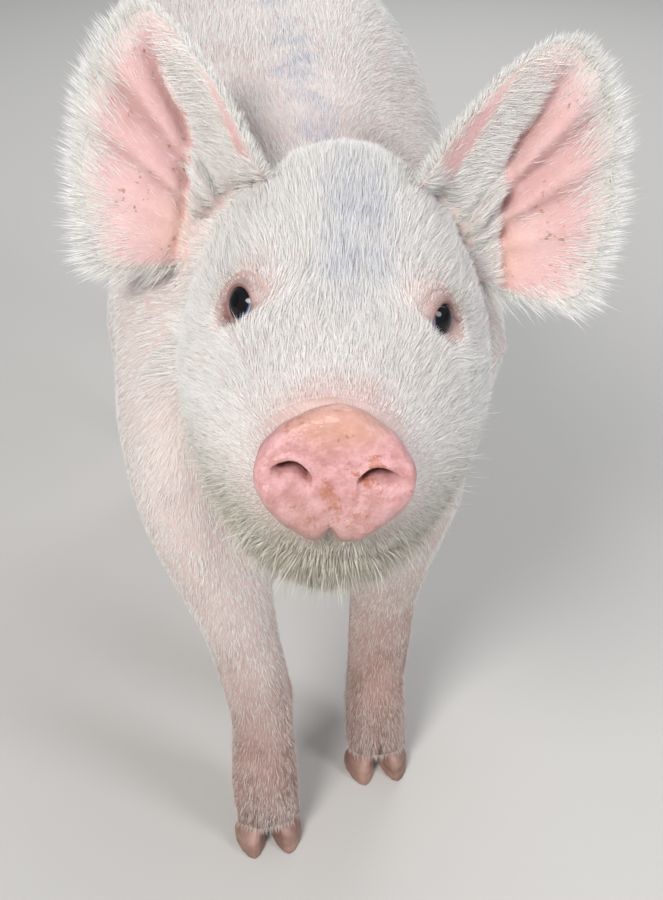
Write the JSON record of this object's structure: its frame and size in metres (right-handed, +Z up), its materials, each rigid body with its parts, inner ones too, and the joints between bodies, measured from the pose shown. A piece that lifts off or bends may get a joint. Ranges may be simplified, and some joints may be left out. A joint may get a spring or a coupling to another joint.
{
  "type": "pig",
  "caption": "Still life-size model of a young white pig standing with its head raised and turned to look up, ears erect.",
  "frame": {"origin": "middle of the footprint, on the floor under the belly", "axes": "-Y to the front, where the pig faces; +X to the pig's left; +Z up"},
  "size_m": [0.2478, 0.745, 0.4875],
  "materials": {
    "coat": "short white bristles lying over pink skin",
    "pink_skin": "bare pink hide, slightly moist",
    "horn": "horn, brown and matt",
    "eye": "dark and wet"
  },
  "bodies": {
    "root": {"claw_foreleg_left_inner": "horn", "claw_foreleg_left_outer": "horn", "claw_foreleg_right_inner": "horn", "claw_foreleg_right_outer": "horn", "claw_hindleg_left_inner": "horn", "claw_hindleg_left_outer": "horn", "claw_hindleg_right_inner": "horn", "claw_hindleg_right_outer": "horn", "dewclaw_foreleg_left_inner": "horn", "dewclaw_foreleg_left_outer": "horn", "dewclaw_foreleg_right_inner": "horn", "dewclaw_foreleg_right_outer": "horn", "dewclaw_hindleg_left_inner": "horn", "dewclaw_hindleg_left_outer": "horn", "dewclaw_hindleg_right_inner": "horn", "dewclaw_hindleg_right_outer": "horn", "ear_left": "pink_skin", "ear_right": "pink_skin", "eye_left": "eye", "eye_right": "eye", "forefoot_left": "coat", "forefoot_right": "coat", "foreleg_left": "coat", "foreleg_right": "coat", "head": "coat", "hindfoot_left": "coat", "hindfoot_right": "coat", "hindleg_left": "coat", "hindleg_right": "coat", "lower_jaw": "coat", "neck": "coat", "snout": "pink_skin", "tail": "coat", "trunk": "coat"}
  },
  "joints": []
}
